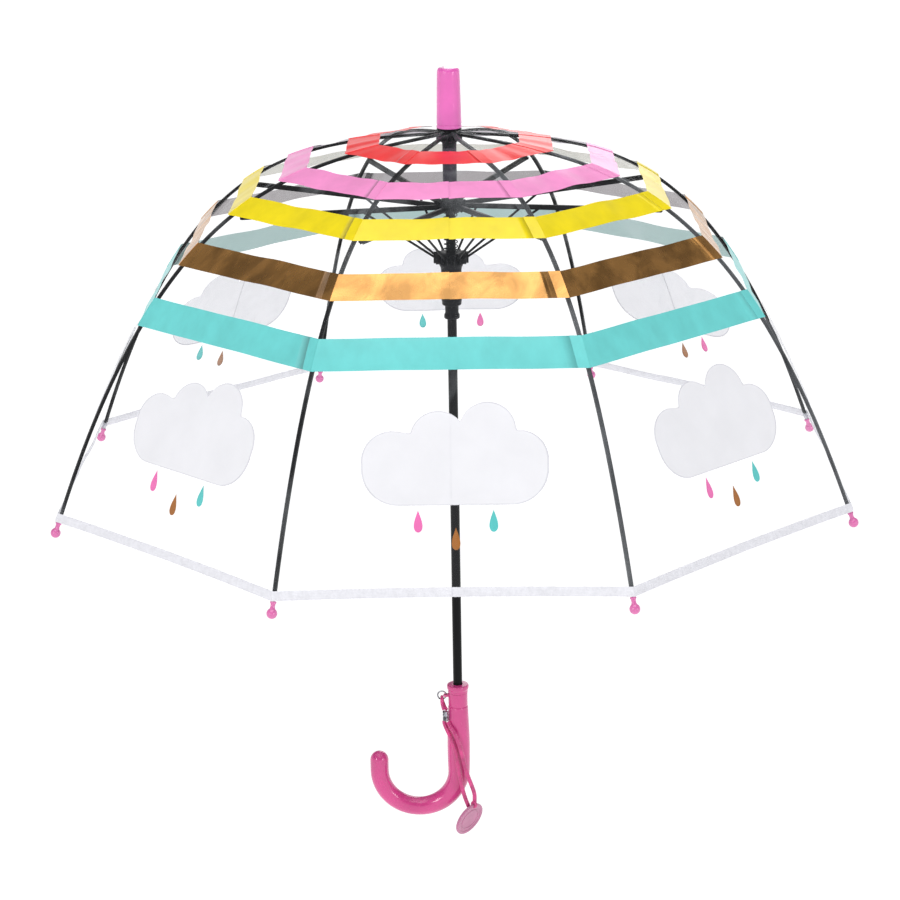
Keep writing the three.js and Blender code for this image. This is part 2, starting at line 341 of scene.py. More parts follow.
class Shape:
    """The points and faces of one piece, put together from lathed, swept and flat sub-shapes."""

    def __init__(self):
        self.points, self.faces, self.slots, self.materials = [], [], [], []

    def add(self, points, faces, material, place=None):
        start = len(self.points)
        self.points += [place @ Vector(p) if place else Vector(p) for p in points]
        self.faces += [[start + i for i in face] for face in faces]
        if material not in self.materials:
            self.materials.append(material)
        self.slots += [self.materials.index(material)] * len(faces)
        return self

    def grid(self, rows, material, flip=False):
        """A sheet through rows of points."""
        width = len(rows[0])
        corners = [i * width + j for i in range(len(rows) - 1) for j in range(width - 1)]
        faces = [[a, a + 1, a + width + 1, a + width] for a in corners]
        if flip:
            faces = [face[::-1] for face in faces]
        return self.add([p for row in rows for p in row], faces, material)

    def raised(self, outer, inner, material, flip=False, backed=False, edge=None):
        """A thin layer: a sheet with a rim down to the rows under it.

        A back closes it where asked, and its outermost ring can be of another material.
        """
        self.grid(outer[:-1] if edge else outer, material, flip)
        if edge:
            self.grid(outer[-2:], edge, flip)
        if backed:
            self.grid(inner, material, not flip)

        def rim(rows):
            right, left = [row[-1] for row in rows[1:]], [row[0] for row in rows[-2:0:-1]]
            return [*rows[0], *right, *rows[-1][-2::-1], *left, rows[0][0]]

        return self.grid([rim(outer), rim(inner)], material, not flip)

    def turned(self, profile, material, place=None, sides=64):
        """A profile of (radius, height) that runs up the outside, turned about Z."""
        points, rings = [], []
        for radius, height in profile:
            angles = turns(sides) if radius > ON_AXIS else [0]
            rings.append([len(points) + i for i in range(len(angles))])
            points += [(radius * math.cos(a), radius * math.sin(a), height) for a in angles]
        faces = []
        for low, high in pairwise(rings):
            for i in range(sides):
                pair = [low[i % len(low)], low[(i + 1) % len(low)]]
                pair += [high[(i + 1) % len(high)], high[i % len(high)]]
                face = list(dict.fromkeys(pair))
                if len(face) > 2:
                    faces.append(face)
        return self.add(points, faces, material, place)

    def swept(self, path, section, material, side=None, sizes=None, closed=False):
        """A section of (side, up) points carried along a path; up is square to side and path."""
        path = [Vector(p) for p in path]
        area = sum(a[0] * b[1] - b[0] * a[1] for a, b in zip(section, section[1:] + section[:1]))
        section = section if area > 0 else section[::-1]
        points = []
        across = Vector(side) if side else None
        for i, middle in enumerate(path):
            before = path[i - 1] if i or closed else middle
            after = path[(i + 1) % len(path)] if i < len(path) - 1 or closed else middle
            along = (after - before).normalized()
            if across is None:
                across = along.orthogonal()
            across = (across - along * across.dot(along)).normalized()
            up = along.cross(across)
            size = sizes[i] if sizes else 1
            points += [middle + size * (s * across + u * up) for s, u in section]
        count, faces = len(section), []
        for i in range(len(path) if closed else len(path) - 1):
            for k in range(count):
                low, high = i * count, (i + 1) % len(path) * count
                faces.append([low + k, low + (k + 1) % count, high + (k + 1) % count, high + k])
        if not closed:
            faces.append(list(range(count))[::-1])
            faces.append([len(points) - count + k for k in range(count)])
        return self.add(points, faces, material)

    def hoop(self, middle, radius, across, up, section, material, sides, side=None):
        """A section carried round a circle in the plane of two directions."""
        path = [middle + radius * (math.cos(a) * across + math.sin(a) * up) for a in turns(sides)]
        return self.swept(path, section, material, side, closed=True)

    def block(self, size, place, material, rounding=mm(0.35)):
        """A box with rounded edges."""
        made = bmesh.new()
        bmesh.ops.create_cube(made, size=1, matrix=Matrix.Diagonal((*size, 1)))
        bmesh.ops.bevel(
            made, geom=made.edges[:], offset=rounding, segments=2, profile=0.5, affect="EDGES"
        )
        made.verts.index_update()
        faces = [[v.index for v in face.verts] for face in made.faces]
        self.add([v.co.copy() for v in made.verts], faces, material, place)
        made.free()
        return self

    def piece(self, name, slot, body, *nodes, sharp=35):
        """The finished object, riding on its body in place of its CAD nodes."""
        mesh = bpy.data.meshes.new(name)
        mesh.from_pydata(self.points, [], self.faces)
        for material in self.materials:
            mesh.materials.append(material)
        mesh.polygons.foreach_set("material_index", self.slots)
        mesh.polygons.foreach_set("use_smooth", [True] * len(mesh.polygons))
        welded = bmesh.new()
        welded.from_mesh(mesh)
        bmesh.ops.remove_doubles(welded, verts=welded.verts[:], dist=SAME_POINT)
        welded.to_mesh(mesh)
        welded.free()
        mesh.set_sharp_from_angle(angle=math.radians(sharp))
        made = bpy.data.objects.new(name, mesh)
        bpy.context.scene.collection.objects.link(made)
        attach(made, body)
        if nodes:
            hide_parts(*nodes)
        return made


def circle(radius, sides, flatness=1.0):
    return [(radius * math.cos(a), flatness * radius * math.sin(a)) for a in turns(sides)]


def rounded(profile, radius, steps=4):
    """A profile with each of its corners rounded, for edges that catch the light."""
    made = [profile[0]]
    for before, corner, after in zip(profile, profile[1:], profile[2:]):
        corner, before, after = Vector(corner), Vector(before), Vector(after)
        reach = min(radius, (before - corner).length * 0.45, (after - corner).length * 0.45)
        start = corner + (before - corner).normalized() * reach
        end = corner + (after - corner).normalized() * reach
        for k in range(steps + 1):
            t = k / steps
            made.append(tuple(start * (1 - t) ** 2 + corner * 2 * t * (1 - t) + end * t**2))
    return [*made, profile[-1]]


def smooth_route(points, spacing):
    """Points close together on one smooth curve through a route."""
    points = [Vector(p) for p in points]
    ends = [2 * points[0] - points[1], *points, 2 * points[-1] - points[-2]]
    made = []
    for a, b, c, d in zip(ends, ends[1:], ends[2:], ends[3:]):
        steps = max(2, round((c - b).length / spacing))
        for k in range(steps):
            t = k / steps
            made.append(
                0.5 * (2 * b + (c - a) * t + (2 * a - 5 * b + 4 * c - d) * t**2)
                + 0.5 * (3 * b - a - 3 * c + d) * t**3
            )
    return [*made, points[-1]]


# ---- wrist strap: the cords come first ----
STRAP_CORD_D, LOOP_D = 0.0038, 0.0029
CORD_FLATNESS = 0.62  # its thickness over its width
ROUTE_STEP = mm(1)
LOOP_ROUTE = [
    (-0.0126, -0.0057, 0.0276), (-0.0134, -0.0049, 0.03), (-0.0142, -0.0032, 0.0334),
    (-0.0142, -0.0016, 0.0366), (-0.0142, 0, 0.0379), (-0.0142, 0.0017, 0.0364),
    (-0.0138, 0.0022, 0.0334), (-0.0126, 0.0004, 0.0304), (-0.0112, -0.0034, 0.0286),
    (-0.0101, -0.005, 0.0276),
]
LEFT_ROUTE = [
    (-0.0124, -0.0039, 0.0166), (-0.012, -0.005, 0.0136), (-0.0094, -0.0092, 0.0086),
    (-0.0062, -0.0118, 0.002), (-0.0034, -0.0128, -0.008), (-0.0012, -0.013, -0.02),
    (0.0006, -0.013, -0.032), (0.0026, -0.0132, -0.044), (0.0052, -0.0138, -0.054),
    (0.0082, -0.015, -0.062),
]
RIGHT_ROUTE = [
    (-0.009, -0.0068, 0.0166), (-0.0074, -0.0085, 0.0136), (-0.0038, -0.0126, 0.009),
    (-0.0008, -0.0144, 0.002), (0.0022, -0.0142, -0.008), (0.0046, -0.0136, -0.02),
    (0.0076, -0.0134, -0.032), (0.011, -0.0134, -0.042), (0.0134, -0.0142, -0.05),
    (0.0136, -0.0164, -0.057),
]
RING_R, RING_EYE = mm(3.78), Vector(mm([-10.4, 0, 39.4]))
TAG_MIDDLE, TAG_FACING = Vector(mm([8.6, -14.6, -74])), Vector((0.7, -0.65, -0.31))
TAG_UP = Vector((0.12, 0, 1))
KNOT_REACH, KNOT_R, KNOT_THICKNESS = mm(15.8), mm(2.1), mm(1.4)


def add_strap():
    """The disc, the clamp and the ring, and the three short cords between them."""
    tag_place = standing(TAG_MIDDLE, TAG_FACING)
    disc = Shape()
    face = mm([(0, -0.7), (12.6, -0.7), (13.2, -1.3), (15.4, -1.3), (16, -0.7), (16, 0.7)])
    face += mm([(15.4, 1.3), (13.2, 1.3), (12.6, 0.7), (0, 0.7)])
    disc.turned(rounded(face, mm(0.4)), TAG, tag_place, 96)
    rings = rounded(mm([(9.4, 0.5), (9.5, 1.0), (10.1, 1.0), (10.2, 0.5)]), mm(0.2))
    disc.turned(rings, TAG, tag_place, 96)
    normal = TAG_FACING.normalized()
    upward = (TAG_UP - normal * normal.dot(TAG_UP)).normalized()
    knot_middle = TAG_MIDDLE + KNOT_REACH * upward
    disc.hoop(knot_middle, KNOT_R, upward, normal, circle(KNOT_THICKNESS, 12), CORD, 24)
    tag = disc.piece("strap_tag_disc", "tag_plastic", "root", "strap_tag")

    clamp_middle = Matrix.Translation(mm([-11.2, -5.2, 21.8]))
    outline = mm([(0, -4.5), (2.3, -4.5), (2.6, -4.1), (2.6, -1.6), (2.2, -1.2), (2.2, -0.6)])
    outline += mm([(2.6, -0.2), (2.6, 1.6), (2.2, 2), (2.2, 2.5), (2.6, 2.9), (2.6, 4.2)])
    outline += mm([(2.2, 4.5), (0, 4.5)])
    clamp = Shape().turned(rounded(outline, mm(0.25)), CHROME, clamp_middle, 48)
    clamp = clamp.piece("strap_clamp", "chrome", "root", "strap_crimp")

    middle = RING_EYE - RING_R * X_AXIS
    ring = Shape().hoop(middle, RING_R, X_AXIS, Z_AXIS, circle(mm(0.65), 12), CHROME, 48)
    ring = ring.piece("strap_split_ring", "chrome", "root", "strap_ring")

    path = smooth_route(LOOP_ROUTE, ROUTE_STEP)
    loop = Shape().swept(path, circle(LOOP_D / 2, 20), CORD, side=Z_AXIS)
    loop = loop.piece("strap_loop_woven", "strap_cord", "root", "strap_loop")
    for name, route, pieces in (
        ("strap_cord_left", LEFT_ROUTE, [tag, clamp, ring, loop]),
        ("strap_cord_right", RIGHT_ROUTE, [tag]),
    ):
        path = smooth_route(route, ROUTE_STEP)
        section = circle(STRAP_CORD_D / 2, 20, CORD_FLATNESS)
        cord = Shape().swept(path, section, CORD, side=(1, 0.2, 0))
        cord = cord.piece(f"{name}_woven", "strap_cord", "root", name)


add_strap()


# ---- the dome and its eight panels ----
def turn_of(n):
    return (n + 0.5) / RIBS * 2 * math.pi - math.pi / 2


def on_rib(n, radius, height, side=0.0):
    """A point in the plane of rib n, counted from 0, moved sideways out of it."""
    c, s = math.cos(turn_of(n)), math.sin(turn_of(n))
    return Vector((radius * c - side * s, radius * s + side * c, height))


def dome(share, out=0.0):
    """Radius and height of the ribs' middle line at a share of the rim radius.

    Out moves the point square to that line.
    """
    drop = share**DOME_POWER + DOME_SLOPE * math.sin(math.pi * share)
    fall = DOME_POWER * share ** (DOME_POWER - 1)
    fall += DOME_SLOPE * math.pi * math.cos(math.pi * share)
    slope = -DOME_HEIGHT * fall / RIM_RADIUS
    length = math.hypot(1, slope)
    radius = RIM_RADIUS * share - out * slope / length
    return radius, RIM_Z + DOME_HEIGHT * (1 - drop) + out / length


RIPPLE_HEIGHT = mm(0.7)


def ripple(panel, share, across):
    """Slight waves of the stretched film, none of them at the ribs or the crown."""
    swell = math.sin(math.pi * across) * min(1, share * 3)
    waves = math.sin(9 * across + 7 * share + 1.7 * panel)
    waves += 0.6 * math.sin(19 * across - 5 * share + panel)
    return RIPPLE_HEIGHT * swell * waves


def on_panel(panel, share, across, out=FILM_OUT):
    """A point on the film between rib panel and the next, across running from 0 to 1."""
    rise = HEM_RISE * share**HEM_RISE_POWER * 4 * across * (1 - across)
    radius, height = dome(share - rise, out + ripple(panel, share, across))
    return on_rib(panel, radius, height).lerp(on_rib(panel + 1, radius, height), across)


CHORD = 2 * math.sin(math.pi / RIBS)  # a panel's width over its ribs' radius
SEAM_WIDTH, WIDEST_SEAM = mm(9), 0.3  # beside each rib, and its limit as a share of the panel
SEAM_COLUMNS, COLUMNS = 3, 9  # points across the seam, and steps from it to the middle line
ROW_STEP = 0.0125
BANDS = (  # colour, and the shares at the top and bottom edge
    ("red", 0.177, 0.261),
    ("pink", 0.355, 0.424),
    ("yellow", 0.489, 0.547),
    ("gold", 0.620, 0.669),
    ("teal", 0.728, 0.772),
)
# Each half panel is cut into lengths: their ends, the rib that carries them, and the share of
# its width that each keeps when it is folded.
LENGTHS = (
    (0.027, 0.30, "rib_inner", 0.33),
    (0.30, KNEE_SHARE, "rib_inner", 0.20),
    (KNEE_SHARE, 0.70, "rib_outer", 0.17),
    (0.70, HEM_SHARES[0], "rib_outer", 0.15),
)
HEM_FOLD_SHARE = 0.84  # the hem's fold line is worked out at the same share as the lowest length's


def half_row(n, right, share, out=FILM_OUT, columns=None):
    """Points from rib n to the middle of the panel on its right or left."""
    edge = min(SEAM_WIDTH / (CHORD * RIM_RADIUS * share), WIDEST_SEAM)
    steps = [0, edge / 2, edge]
    steps += [edge + (0.5 - edge) * k / COLUMNS for k in range(1, COLUMNS + 1)]
    steps = steps[:columns]
    if right:
        return [on_panel(n, share, a, out) for a in steps]
    return [on_panel(n - 1, share, 1 - a, out) for a in steps]


def zones(start, end):
    """The zones between two shares, each with its band's colour or None where it is clear."""
    edges = sorted({start, end, *[e for band in BANDS for e in band[1:] if start < e < end]})
    for low, high in pairwise(edges):
        middle = (low + high) / 2
        band = next((colour for colour, top, bottom in BANDS if top < middle < bottom), None)
        yield low, high, band


def shares_between(low, high):
    steps = max(1, math.ceil((high - low) / ROW_STEP))
    return [low + (high - low) * k / steps for k in range(steps + 1)]


def fold(piece, n, right, share):
    """Works out the line across the piece, square to rib n, about which it would draw in towards
    its rib as the umbrella closes; the line is not used, and the piece only gets a mesh of its
    own.
    """
    along = (on_rib(n, *dome(share + 0.01)) - on_rib(n, *dome(share - 0.01))).normalized()
    row = half_row(n, right, share)
    axis = row[-1] - row[0]
    axis -= along * axis.dot(along)
    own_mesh(piece)


# Down the middle line of a panel: the share at each distance from the top of the dome.
SLOPE_SHARES = np.linspace(0.02, 1, 400)
SLOPE_POINTS = np.array([on_panel(0, s, 0.5) for s in SLOPE_SHARES])
SLOPE_RUN = np.concatenate([[0], np.cumsum(np.linalg.norm(np.diff(SLOPE_POINTS, axis=0), axis=1))])


def on_print(panel, share, right, down, out):
    """A point on a panel, right and down in metres from its middle line at a share."""
    run = np.interp(share, SLOPE_SHARES, SLOPE_RUN) + down
    at = float(np.interp(run, SLOPE_RUN, SLOPE_SHARES))
    return on_panel(panel, at, 0.5 + right / (CHORD * RIM_RADIUS * at), out)


# The cloud is the outline of round puffs (right, down, radius) on a flat base of more of them.
CLOUD_SHARE = 0.8662
CLOUD_PUFFS = mm([(-43.4, 6, 23), (-9.5, -11.5, 20.5), (27, -17.5, 21), (50.4, 4.5, 21.4)])
CLOUD_BASE = mm([(2.8 + 6 * k, 11.5, 27) for k in range(-7, 8)])
CLOUD_HEART = Vector(mm([0, 6]))
CLOUD_SIZES = (0, 0.2, 0.4, 0.6, 0.75, 0.88, 0.982, 1)
DROP_SIZES = (0, 0.5, 0.85, 1)
DROP_HEIGHT, DROP_WIDTH, DROP_POINT = mm(8.3), mm(4.6), 1.5
DROPS_RIGHT = (("teal", 0.9293, mm(30.6)), ("brown", 0.9444, mm(2.8)))
DROPS_LEFT = (("pink", 0.9293, mm(-24.8)),)


def cloud_edge(angle):
    """The furthest point of the cloud's round puffs in a direction from its heart."""
    ray = Vector((math.cos(angle), math.sin(angle)))
    best = 0.0
    for x, y, radius in CLOUD_PUFFS + CLOUD_BASE:
        to_puff = Vector((x, y)) - CLOUD_HEART
        along = to_puff.dot(ray)
        square = radius**2 - to_puff.length_squared + along**2
        if square > 0:
            best = max(best, along + math.sqrt(square))
    return CLOUD_HEART + ray * best


def ink_layers(panel, share, outline, heart, sizes):
    """The ink's outer and inner side, each as copies of an outline that shrink to its heart."""
    layers = []
    for out in (FILM_OUT + PRINT_THICKNESS, FILM_OUT):
        rows = []
        for size in sizes:
            spots = [heart + (p - heart) * size for p in outline]
            rows.append([on_print(panel, share, x, y, out) for x, y in spots])
        layers.append(rows)
    return layers


def add_cloud(shape, panel, right):
    """Half a cloud, from the middle line of the panel out."""
    start = math.pi / 2 if right else -math.pi / 2
    outline = [cloud_edge(start + math.pi * k / 72) for k in range(73)]
    layers = ink_layers(panel, CLOUD_SHARE, outline, CLOUD_HEART, CLOUD_SIZES)
    shape.raised(*layers, CLOUD, edge=CLOUD_EDGE)


def add_drop(shape, panel, share, right, material):
    """A raindrop with its point up."""
    heart = Vector((right, 0))
    outline = []
    for angle in [*turns(28), 2 * math.pi]:
        x = DROP_WIDTH * math.sin(angle) * math.sin(angle / 2) ** DROP_POINT
        outline.append(heart + Vector((x, -DROP_HEIGHT * math.cos(angle))))
    outer, inner = ink_layers(panel, share, outline, heart, DROP_SIZES)
    shape.grid([*outer, inner[-1]], material, flip=True)


def add_half_panel(n, right, start, end, body):
    """One length of the film between rib n and the middle line of the panel beside it."""
    shape = Shape()
    panel = n if right else n - 1
    for low, high, band in zones(start, end):
        shares = shares_between(low, high)
        film = PRINTS[band] if band else CLEAR
        shape.grid([half_row(n, right, s) for s in shares], film, flip=right)
        if not right:  # the panels are lapped on the left of each rib
            top = FILM_OUT + WELD_THICKNESS
            outer = [half_row(n, right, s, top, SEAM_COLUMNS) for s in shares]
            inner = [half_row(n, right, s, FILM_OUT, SEAM_COLUMNS) for s in shares]
            shape.raised(outer, inner, film if band else SEAM, flip=right)
    if end == HEM_SHARES[0]:
        add_cloud(shape, panel, right)
        for colour, share, across in DROPS_RIGHT if right else DROPS_LEFT:
            add_drop(shape, panel, share, across, DROPS[colour])
    side = "right" if right else "left"
    nodes = ["canopy"] if n == 0 and right and start == LENGTHS[0][0] else []
    name = f"film_{n + 1}_{side}_{round(start * 100):02d}"
    piece = shape.piece(name, "clear_pvc", f"{body}_{n + 1}", *nodes)
    fold(piece, n, right, (start + end) / 2)
    return piece


def declare_film(n, start, end):
    """Works out the flat area that one length of a half panel is cut to; nothing is kept of it."""
    rows = [half_row(n, True, s) for s in shares_between(start, end)]
    widths = [(row[-1] - row[0]).length for row in rows]
    strips = zip(pairwise(rows), pairwise(widths))
    area = sum((b[0] - a[0]).length * (v + w) / 2 for (a, b), (v, w) in strips)


TAPE_SWELL = mm([0, 0.5, 0.62, 0.5, 0])  # the tape is thickest along its middle


def add_hem(n, right):
    """The woven tape along the lower edge of a half panel."""
    low, high = HEM_SHARES
    outer, inner = [], []
    for k, swell in enumerate(TAPE_SWELL):
        share = low + (high - low) * k / (len(TAPE_SWELL) - 1)
        outer.append(half_row(n, right, share, FILM_OUT + TAPE_OUT + swell))
        inner.append(half_row(n, right, share, FILM_OUT - TAPE_IN - swell))
    hem = Shape().raised(outer, inner, TAPE, flip=right, backed=True)
    side = "right" if right else "left"
    nodes = ["canopy_hem"] if n == 0 and right else []
    piece = hem.piece(f"hem_{n + 1}_{side}", "hem_tape", f"rib_outer_{n + 1}", *nodes)
    fold(piece, n, right, HEM_FOLD_SHARE)
    return piece


def add_canopy():
    for n in range(RIBS):
        for right in (True, False):
            hem = add_hem(n, right)
            for start, end, body, keep in LENGTHS:
                film = add_half_panel(n, right, start, end, body)
                declare_film(n, start, end)


add_canopy()


# ---- ribs, stretchers, struts and tips ----
CHANNEL = [(-1, -1), (-0.5, -1), (-0.5, 0.35), (0.5, 0.35), (0.5, -1), (1, -1)]
CHANNEL += [(1, 0.7), (0.75, 1), (-0.75, 1), (-1, 0.7)]


def channel(width, height):
    """A folded steel channel's section, open on its lower side."""
    return [(s * width / 2, u * height / 2) for s, u in CHANNEL]


def side_of(n):
    return on_rib(n, 0, 0, 1)


def rivet(shape, middle, side, reach, radius=mm(1.5)):
    """A pin along a joint's axis with a round head on each end."""
    shares = [(0.45, 0.7), (1, 0.7), (1, 0.8), (0.6, 0.97), (0, 1)]
    head = [(radius * across, reach * along) for across, along in shares]
    other = [(across, -along) for across, along in head[::-1]]
    shape.turned(other + head, STEEL, standing(middle, side), 20)


def rib_path(n, start, end, steps):
    shares = [start + (end - start) * k / steps for k in range(steps + 1)]
    return [on_rib(n, *dome(s)) for s in shares]


STRETCHER_HOLD = dome(KNEE_SHARE, -STRETCHER_DROP)
STRETCHER_LENGTH = math.dist(STRETCHER_HOLD, UPPER_PIVOT)


def along_stretcher(distance):
    """Radius and height on a stretcher's middle line, from its pivot on the upper runner."""
    share = distance / STRETCHER_LENGTH
    return [low + (high - low) * share for low, high in zip(UPPER_PIVOT, STRETCHER_HOLD)]


def straight(start, end, steps):
    return [start.lerp(end, k / steps) for k in range(steps + 1)]


RIB_SIZE, STRETCHER_SIZE = mm([3, 2.4]), mm([3, 4])
STRUT_R, SMALL_RIVET_R = mm(1), mm(1.2)
BALL_R, BALL_START = mm(4.1), -1.0  # the ball runs up from this latitude


def add_rib(n):
    side = side_of(n)

    def finish(shape, name, node, body=None, slot="black_steel"):
        shape.piece(f"{name}_{n + 1}", slot, f"{body or node}_{n + 1}", f"{node}_{n + 1}")

    path = rib_path(n, RIB_START_SHARE, KNEE_SHARE - KNEE_GAP, 28)
    inner = Shape().swept(path, channel(*RIB_SIZE), STEEL, side)
    finish(inner, "rib_channel_inner", "rib_inner")
    path = rib_path(n, KNEE_SHARE + KNEE_GAP, RIB_END_SHARE, 44)
    outer = Shape().swept(path, channel(*RIB_SIZE), STEEL, side)
    rivet(outer, on_rib(n, *dome(KNEE_SHARE)), side, mm(2.1), SMALL_RIVET_R)
    finish(outer, "rib_channel_outer", "rib_outer")

    ends = mm(-1), STRETCHER_LENGTH + mm(1)
    path = straight(*[on_rib(n, *along_stretcher(d), STRETCHER_SIDE) for d in ends], 12)
    bar = Shape().swept(path, channel(*STRETCHER_SIZE), STEEL, side)
    knee = on_rib(n, *along_stretcher(STRETCHER_LENGTH - mm(1)), mm(2.6))
    rivet(bar, knee, side, mm(2.6))
    joint = on_rib(n, *along_stretcher(STRUT_REACH), STRETCHER_SIDE - mm(0.4))
    rivet(bar, joint, side, mm(2.2), SMALL_RIVET_R)
    finish(bar, "stretcher_bar", "stretcher")

    low = on_rib(n, *LOWER_PIVOT, STRUT_SIDE)
    high = on_rib(n, *along_stretcher(STRUT_REACH), STRUT_SIDE)
    wire = Shape().swept(straight(low, high, 10), circle(STRUT_R, 14), STEEL)
    finish(wire, "strut_wire", "strut")

    out = (Vector(dome(1)) - Vector(dome(0.99))).normalized()
    place = standing(on_rib(n, *dome(1)), on_rib(n, out.x, out.y))
    latitudes = np.linspace(BALL_START, math.pi / 2, 18)
    ball = [(BALL_R * math.cos(a), BALL_R * math.sin(a)) for a in latitudes]
    ball[-1] = (0, BALL_R)
    stem = mm([(0, -9.2), (1.9, -9.2), (2.5, -8.6), (2.5, -7.8), (1.9, -7.2), (1.75, -5)])
    tip = Shape().turned(rounded(stem, mm(0.3)) + ball, TIP, place, 40)
    pocket = mm([(0, -15), (1.5, -15), (2.0, -14), (1.9, -10.5), (1.4, -9.4), (0, -9.4)])
    tip.turned(pocket, POCKET, place, 24)
    finish(tip, "tip_cap", "rib_tip", "rib_outer", "pink_plastic")


for rib in range(RIBS):
    add_rib(rib)


# ---- shaft, crown, ferrule and runners: outlines are (radius, height), from low to high ----
SHAFT_BORE, FIXED_BORE, RUNNER_BORE, WASHER_BORE = mm(3.4), mm(4.3), mm(4.4), mm(6.4)
JAW_APART, JAW_THICKNESS = mm(4.9), mm(1.1)
PIVOT_WIRE_R = mm(0.4)


def tube(outline, bore):
    """A turned body with a straight bore: its outline closes back down the inside."""
    low, high = outline[0][1], outline[-1][1]
    return [(bore, low), *outline, (bore, high), (bore, low)]


def jaws(shape, inner, outer, low, high, offset, material):
    """A pair of thin plates beside each rib's pivot."""
    for n in range(RIBS):
        for side in (-JAW_APART / 2, JAW_APART / 2):
            middle = on_rib(n, (inner + outer) / 2, (low + high) / 2, offset + side)
            place = Matrix.Translation(middle) @ Matrix.Rotation(turn_of(n), 4, "Z")
            shape.block((outer - inner, JAW_THICKNESS, high - low), place, material)


def wire_ring(shape, radius, height):
    """The wire that pins all eight pivots."""
    shape.hoop(height * Z_AXIS, radius, X_AXIS, Y_AXIS, circle(PIVOT_WIRE_R, 10), STEEL, 64)


def add_stem():
    """What stands still on the shaft: the tube, the crown, the washer, the ferrule, the sleeve."""
    shaft = Shape().turned(tube(mm([(4, -24), (4, 584)]), SHAFT_BORE), LACQUER)
    shaft.piece("shaft_tube", "black_steel", "root", "shaft")

    crown = Shape()
    outline = mm([(5.9, 529.5), (6.1, 534), (6.6, 535), (6.8, 541), (6, 542), (6, 543.4)])
    crown.turned(tube(rounded(outline, mm(0.4)), FIXED_BORE), BLACK)
    jaws(crown, mm(6), mm(10.6), mm(534.5), mm(541.6), 0, BLACK)
    wire_ring(crown, mm(8.6), mm(540.1))
    crown.piece("crown_notched", "black_plastic", "root", "crown")

    washer = Shape()
    outline = mm([(9.8, 543.7), (10.4, 543.9), (10.4, 544.5), (9.9, 544.8)])
    washer.turned(tube(rounded(outline, mm(0.2)), WASHER_BORE), BLACK)
    washer.piece("canopy_washer_pressed", "black_plastic", "root", "canopy_washer")

    ferrule = Shape()
    outline = mm([(4.3, 545.1), (10.1, 545.1), (10.5, 545.6), (10.45, 547.4), (10.1, 547.8)])
    outline += mm([(10.1, 548.4), (10.4, 548.8), (9.65, 586), (9.4, 592.4), (8.3, 594.7)])
    outline += mm([(4, 595), (0, 595)])
    ferrule.turned(rounded(outline, mm(0.9), 6), FERRULE, sides=96)
    ferrule.piece("ferrule_moulded", "pink_plastic", "root", "ferrule")

    sleeve = Shape()
    outline = mm([(5.6, 489), (5.9, 489.3), (5.9, 528.9), (5.6, 529.2)])
    sleeve.turned(tube(outline, FIXED_BORE), SMOKE)
    sleeve.piece("stop_sleeve_tube", "black_plastic", "root", "stop_sleeve")


def add_runners():
    """The two runners and the spring between them."""
    upper = Shape()
    outline = mm([(7.2, 474), (7.8, 474.4), (7.8, 483.6), (7.4, 485.4), (7.2, 488.3)])
    outline += mm([(6.8, 488.7)])
    upper.turned(tube(rounded(outline, mm(0.4)), RUNNER_BORE), BLACK)
    jaws(upper, mm(7), mm(11.5), mm(475.2), mm(484.6), STRETCHER_SIDE, BLACK)
    wire_ring(upper, mm(9.9), mm(481.6))
    upper.piece("upper_runner_notched", "black_plastic", "upper_runner", "upper_runner")

    lower = Shape()
    outline = mm([(5.6, 383), (6.6, 383.6), (6.6, 386.6), (5.7, 387.8), (5.7, 394.6)])
    outline += mm([(7.8, 395), (8.2, 395.6), (8.2, 397.4), (8.6, 399), (8.6, 424), (8.9, 427)])
    outline += mm([(10.4, 430.4), (10.4, 439.6), (9.9, 440.3), (8, 440.5)])
    lower.turned(tube(rounded(outline, mm(0.6)), RUNNER_BORE), BLACK)
    jaws(lower, mm(9.8), mm(14.8), mm(431.4), mm(440), 0, BLACK)
    wire_ring(lower, *LOWER_PIVOT)
    for n in range(RIBS):  # ridges for the fingers
        middle = Matrix.Translation(on_rib(n, mm(8.6), mm(413)))
        ridge_place = middle @ Matrix.Rotation(turn_of(n), 4, "Z")
        lower.block(mm([0.9, 1.6, 20]), ridge_place, BLACK, mm(0.3))
    lower.piece("lower_runner_notched", "black_plastic", "lower_runner", "lower_runner")

    coils, radius, wire_r, low, high = 11, mm(5.6), mm(0.45), mm(441.4), mm(483.2)
    steps = coils * 28
    path = []
    for k in range(steps + 1):
        a = 2 * math.pi * coils * k / steps
        path.append((radius * math.cos(a), radius * math.sin(a), low + (high - low) * k / steps))
    spring = Shape().swept(path, circle(wire_r, 10), STEEL, side=Z_AXIS)
    spring = spring.piece("runner_spring_coil", "black_steel", "upper_runner", "runner_spring")
    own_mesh(spring)


add_stem()
add_runners()


# ---- handle ----
HOOK_SWELL, HOOK_SWELL_STEPS = mm(1.5), 18  # the grip's thickness runs out half way round the hook
HOOK_END = mm(10)  # the straight stretch before the round tip
CAP_SHARE = (0.998, 0.06)  # height and radius of the last ring, over the tube's radius


